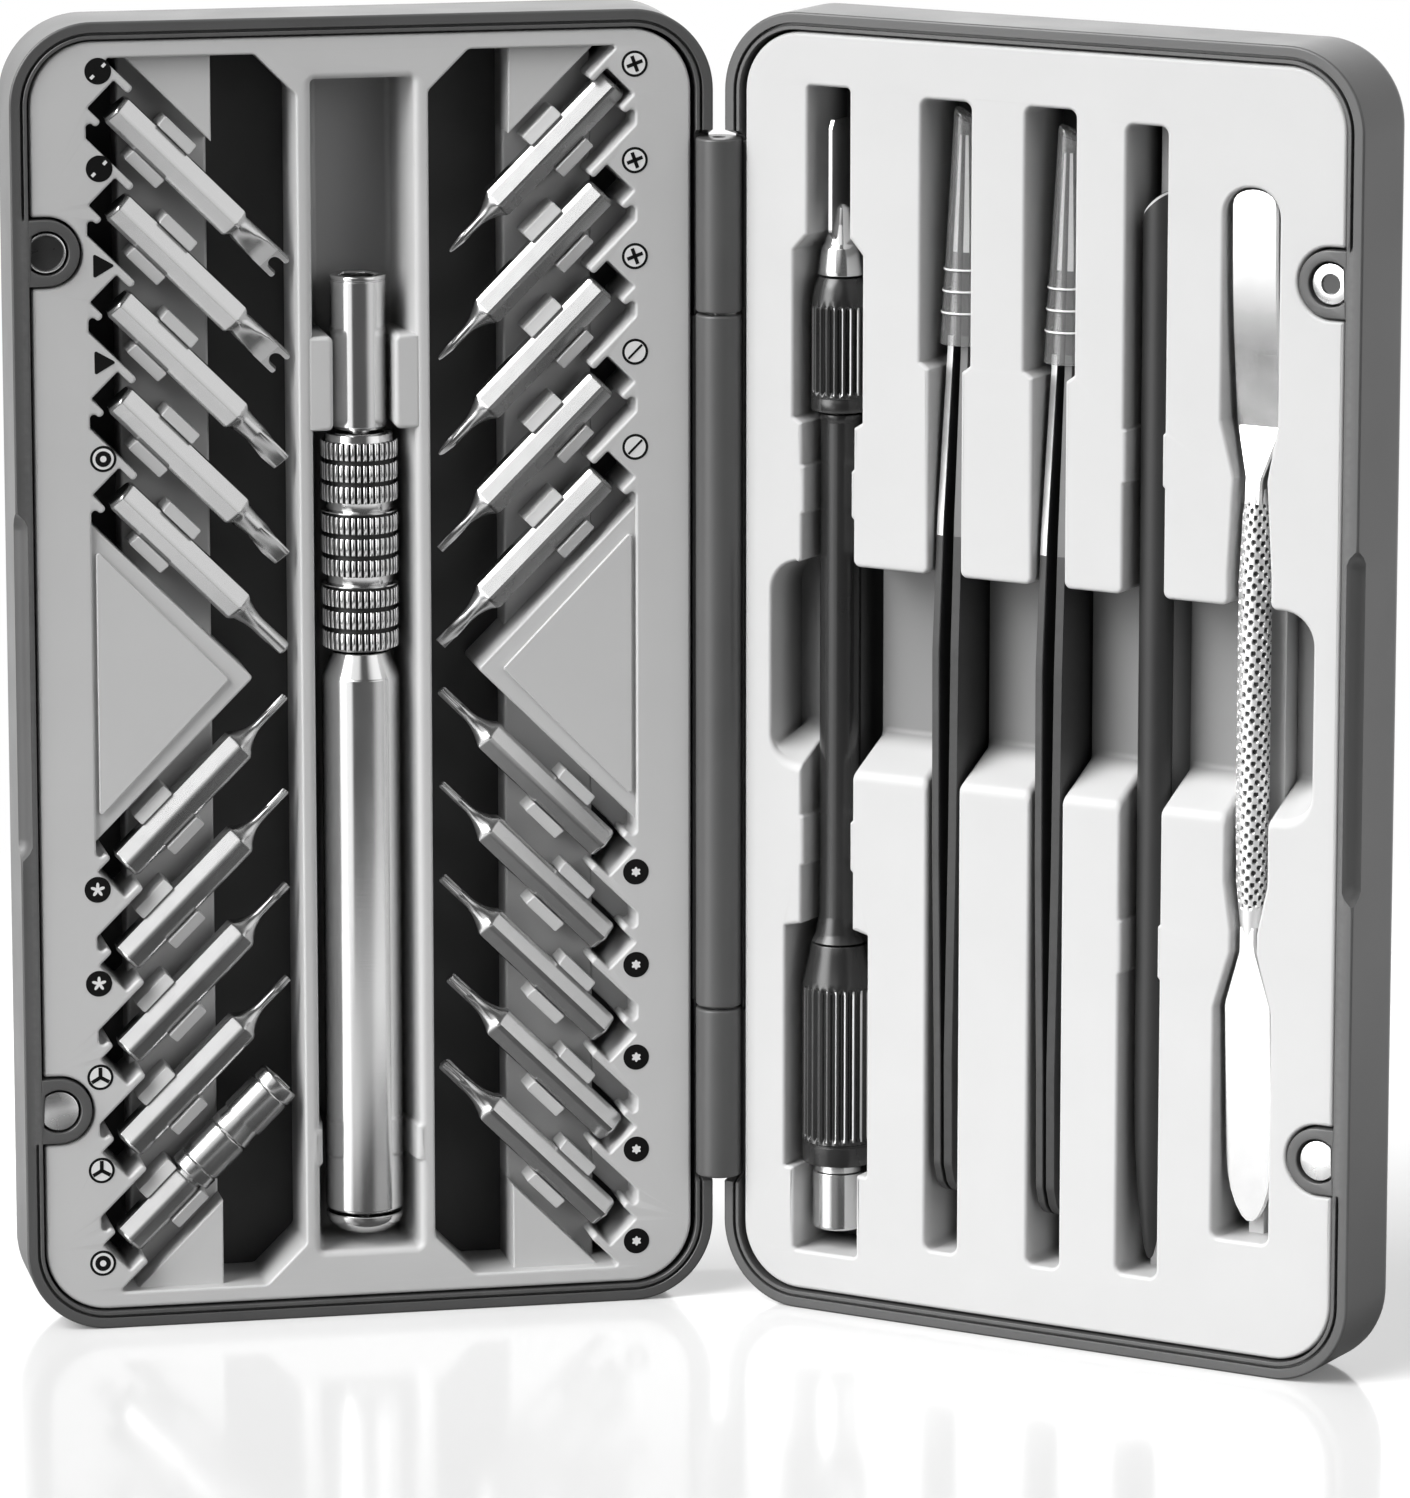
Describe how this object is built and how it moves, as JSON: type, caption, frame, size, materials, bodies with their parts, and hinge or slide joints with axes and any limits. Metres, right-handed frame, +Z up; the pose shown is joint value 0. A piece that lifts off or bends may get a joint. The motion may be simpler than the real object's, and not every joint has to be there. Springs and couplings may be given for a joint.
{
  "type": "precision screwdriver set",
  "caption": "Hinged book-like case standing open: a grey tray of slanted hexagonal bits round a ringed driver handle on the left, a knife, tweezers, spudger and pry tool in slots on the right.",
  "frame": {"origin": "middle of the bounding box on the plane the case stands on", "axes": "+Z up along the hinge pin, +X across both open halves to the right, -Y out of the trays towards the user"},
  "size_m": [0.1662, 0.0536, 0.16],
  "materials": {
    "shell_plastic": "fine satin moulded plastic, dark grey",
    "tray_plastic": "smooth satin moulded plastic, mid grey",
    "plated_steel": "bright plated steel",
    "bit_steel": "ground and plated tool steel",
    "driver_alloy": "anodised turned aluminium",
    "knife_steel": "bright ground steel",
    "knife_black": "black anodised aluminium",
    "tweezer_black": "black coated spring steel",
    "clear_plastic": "clear soft plastic",
    "black_nylon": "black moulded nylon",
    "pry_steel": "ground stainless steel"
  },
  "bodies": {
    "left_case": {"left_shell": "shell_plastic", "left_tray": "tray_plastic", "left_magnet_upper": "plated_steel", "left_magnet_lower": "plated_steel", "hinge_pin": "plated_steel"},
    "right_case": {"right_shell": "shell_plastic", "right_tray": "tray_plastic", "right_magnet_upper": "plated_steel", "right_magnet_lower": "plated_steel"},
    "driver": {"driver_chuck": "driver_alloy", "driver_chuck_magnet": "plated_steel", "driver_grip": "driver_alloy", "driver_barrel": "driver_alloy", "driver_cap_pin": "plated_steel"},
    "driver_cap": {"driver_end_cap": "driver_alloy"},
    "bit_cross_1_body": {"bit_cross_1": "bit_steel"},
    "bit_cross_2_body": {"bit_cross_2": "bit_steel"},
    "bit_cross_3_body": {"bit_cross_3": "bit_steel"},
    "bit_fork_1_body": {"bit_fork_1": "bit_steel"},
    "bit_fork_2_body": {"bit_fork_2": "bit_steel"},
    "bit_lobe_1_body": {"bit_lobe_1": "bit_steel"},
    "bit_lobe_2_body": {"bit_lobe_2": "bit_steel"},
    "bit_lobe_3_body": {"bit_lobe_3": "bit_steel"},
    "bit_lobe_4_body": {"bit_lobe_4": "bit_steel"},
    "bit_lobe_5_body": {"bit_lobe_5": "bit_steel"},
    "bit_pin_1_body": {"bit_pin_1": "bit_steel"},
    "bit_slot_1_body": {"bit_slot_1": "bit_steel"},
    "bit_slot_2_body": {"bit_slot_2": "bit_steel"},
    "bit_socket_adapter_body": {"bit_socket_adapter": "bit_steel"},
    "bit_star_1_body": {"bit_star_1": "bit_steel"},
    "bit_star_2_body": {"bit_star_2": "bit_steel"},
    "bit_triangle_1_body": {"bit_triangle_1": "bit_steel"},
    "bit_triangle_2_body": {"bit_triangle_2": "bit_steel"},
    "bit_triwing_1_body": {"bit_triwing_1": "bit_steel"},
    "bit_triwing_2_body": {"bit_triwing_2": "bit_steel"},
    "knife": {"knife_blade": "knife_steel", "knife_collet": "knife_steel", "knife_shaft": "knife_black", "knife_grip": "knife_black", "knife_end_cap": "knife_steel"},
    "knife_collar_body": {"knife_collar": "knife_black"},
    "tweezers_1": {"tweezers_1_arm_left": "tweezer_black", "tweezers_1_arm_right": "tweezer_black", "tweezers_1_tip_cap": "clear_plastic"},
    "tweezers_2": {"tweezers_2_arm_left": "tweezer_black", "tweezers_2_arm_right": "tweezer_black", "tweezers_2_tip_cap": "clear_plastic"},
    "spudger_body": {"spudger": "black_nylon"},
    "pry_tool_body": {"pry_tool": "pry_steel"}
  },
  "joints": [
    {"name": "case_hinge", "type": "hinge", "parent": "left_case", "child": "right_case", "pos_m": [0.00289, 0.01486, 0.08], "axis": [0, 0, 1], "range_deg": [-138.7, 41.3]},
    {"name": "driver_lift", "type": "slide", "parent": "left_case", "child": "driver", "axis": [0.2096, -0.9778, 0], "range_m": [0, 0.014]},
    {"name": "driver_cap_spin", "type": "hinge", "parent": "driver", "child": "driver_cap", "pos_m": [-0.04054, 0.01077, 0.0107], "axis": [0, 0, 1], "continuous": true},
    {"name": "cross_1_lift", "type": "slide", "parent": "left_case", "child": "bit_cross_1_body", "axis": [0.2096, -0.9778, 0], "range_m": [0, 0.014]},
    {"name": "cross_2_lift", "type": "slide", "parent": "left_case", "child": "bit_cross_2_body", "axis": [0.2096, -0.9778, 0], "range_m": [0, 0.014]},
    {"name": "cross_3_lift", "type": "slide", "parent": "left_case", "child": "bit_cross_3_body", "axis": [0.2096, -0.9778, 0], "range_m": [0, 0.014]},
    {"name": "fork_1_lift", "type": "slide", "parent": "left_case", "child": "bit_fork_1_body", "axis": [0.2096, -0.9778, 0], "range_m": [0, 0.014]},
    {"name": "fork_2_lift", "type": "slide", "parent": "left_case", "child": "bit_fork_2_body", "axis": [0.2096, -0.9778, 0], "range_m": [0, 0.014]},
    {"name": "lobe_1_lift", "type": "slide", "parent": "left_case", "child": "bit_lobe_1_body", "axis": [0.2096, -0.9778, 0], "range_m": [0, 0.014]},
    {"name": "lobe_2_lift", "type": "slide", "parent": "left_case", "child": "bit_lobe_2_body", "axis": [0.2096, -0.9778, 0], "range_m": [0, 0.014]},
    {"name": "lobe_3_lift", "type": "slide", "parent": "left_case", "child": "bit_lobe_3_body", "axis": [0.2096, -0.9778, 0], "range_m": [0, 0.014]},
    {"name": "lobe_4_lift", "type": "slide", "parent": "left_case", "child": "bit_lobe_4_body", "axis": [0.2096, -0.9778, 0], "range_m": [0, 0.014]},
    {"name": "lobe_5_lift", "type": "slide", "parent": "left_case", "child": "bit_lobe_5_body", "axis": [0.2096, -0.9778, 0], "range_m": [0, 0.014]},
    {"name": "pin_1_lift", "type": "slide", "parent": "left_case", "child": "bit_pin_1_body", "axis": [0.2096, -0.9778, 0], "range_m": [0, 0.014]},
    {"name": "slot_1_lift", "type": "slide", "parent": "left_case", "child": "bit_slot_1_body", "axis": [0.2096, -0.9778, 0], "range_m": [0, 0.014]},
    {"name": "slot_2_lift", "type": "slide", "parent": "left_case", "child": "bit_slot_2_body", "axis": [0.2096, -0.9778, 0], "range_m": [0, 0.014]},
    {"name": "socket_adapter_lift", "type": "slide", "parent": "left_case", "child": "bit_socket_adapter_body", "axis": [0.2096, -0.9778, 0], "range_m": [0, 0.014]},
    {"name": "star_1_lift", "type": "slide", "parent": "left_case", "child": "bit_star_1_body", "axis": [0.2096, -0.9778, 0], "range_m": [0, 0.014]},
    {"name": "star_2_lift", "type": "slide", "parent": "left_case", "child": "bit_star_2_body", "axis": [0.2096, -0.9778, 0], "range_m": [0, 0.014]},
    {"name": "triangle_1_lift", "type": "slide", "parent": "left_case", "child": "bit_triangle_1_body", "axis": [0.2096, -0.9778, 0], "range_m": [0, 0.014]},
    {"name": "triangle_2_lift", "type": "slide", "parent": "left_case", "child": "bit_triangle_2_body", "axis": [0.2096, -0.9778, 0], "range_m": [0, 0.014]},
    {"name": "triwing_1_lift", "type": "slide", "parent": "left_case", "child": "bit_triwing_1_body", "axis": [0.2096, -0.9778, 0], "range_m": [0, 0.014]},
    {"name": "triwing_2_lift", "type": "slide", "parent": "left_case", "child": "bit_triwing_2_body", "axis": [0.2096, -0.9778, 0], "range_m": [0, 0.014]},
    {"name": "knife_lift", "type": "slide", "parent": "right_case", "child": "knife", "axis": [-0.4879, -0.8729, 0], "range_m": [0, 0.014]},
    {"name": "knife_collar_spin", "type": "hinge", "parent": "knife", "child": "knife_collar_body", "pos_m": [0.0177, 0.01226, 0.1195], "axis": [0, 0, 1], "continuous": true},
    {"name": "tweezers_1_lift", "type": "slide", "parent": "right_case", "child": "tweezers_1", "axis": [-0.4879, -0.8729, 0], "range_m": [0, 0.014]},
    {"name": "tweezers_2_lift", "type": "slide", "parent": "right_case", "child": "tweezers_2", "axis": [-0.4879, -0.8729, 0], "range_m": [0, 0.014]},
    {"name": "spudger_lift", "type": "slide", "parent": "right_case", "child": "spudger_body", "axis": [-0.4879, -0.8729, 0], "range_m": [0, 0.014]},
    {"name": "pry_tool_lift", "type": "slide", "parent": "right_case", "child": "pry_tool_body", "axis": [-0.4879, -0.8729, 0], "range_m": [0, 0.014]}
  ]
}
